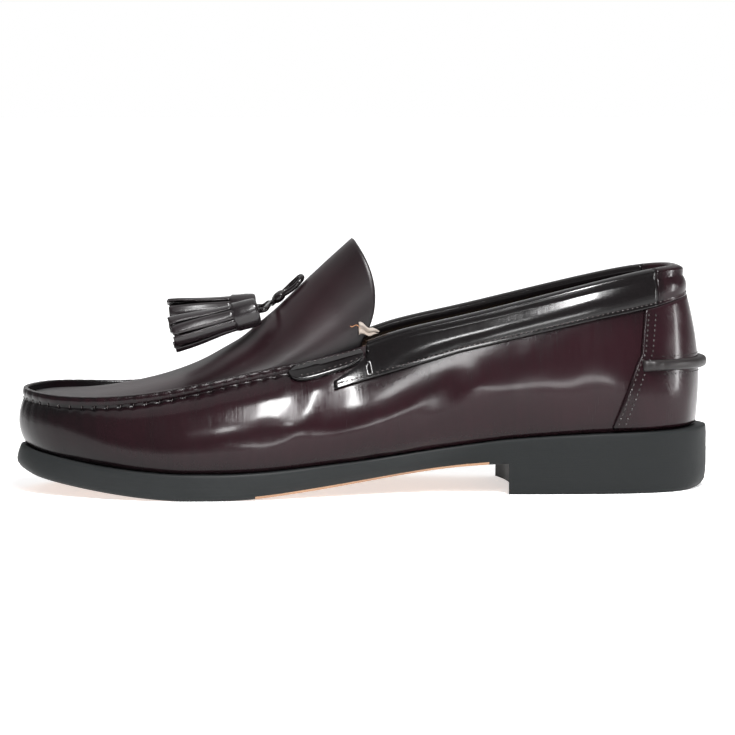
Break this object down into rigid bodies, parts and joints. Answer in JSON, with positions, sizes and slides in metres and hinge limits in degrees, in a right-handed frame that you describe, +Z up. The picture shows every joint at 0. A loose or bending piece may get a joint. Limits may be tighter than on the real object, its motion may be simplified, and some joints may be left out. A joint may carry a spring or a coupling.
{
  "type": "tassel loafer",
  "caption": "Right tassel loafer with a raised seam round a plain plug, rolled collar band, tongue, tied thong with two tassels, back stay with strap, leather sole and stacked heel.",
  "frame": {"origin": "centre of the heel's flat bottom, on the floor", "axes": "+Z up, the toe points along -X, the medial side faces -Y and the lateral side +Y"},
  "size_m": [0.29, 0.1041, 0.1047],
  "materials": {
    "sole_edge": "dark slate painted leather edge, matt with fine rubbing",
    "insole_leather": "natural tan lining leather, matt",
    "upper_leather": "glossy brushed burgundy leather, darker at the seams",
    "dark_leather": "near-black burgundy leather, glossy"
  },
  "bodies": {
    "root": {"outsole": "sole_edge", "heel": "sole_edge", "insole": "insole_leather", "upper": "upper_leather", "plug": "upper_leather", "collar_medial": "dark_leather", "collar_lateral": "dark_leather", "collar_back": "upper_leather", "backstay": "upper_leather", "heel_strap": "upper_leather", "tab_medial": "dark_leather", "tab_lateral": "dark_leather", "lace_bow": "dark_leather", "thong_medial": "dark_leather", "thong_lateral": "dark_leather", "tassel_medial": "dark_leather", "tassel_lateral": "dark_leather"}
  },
  "joints": []
}
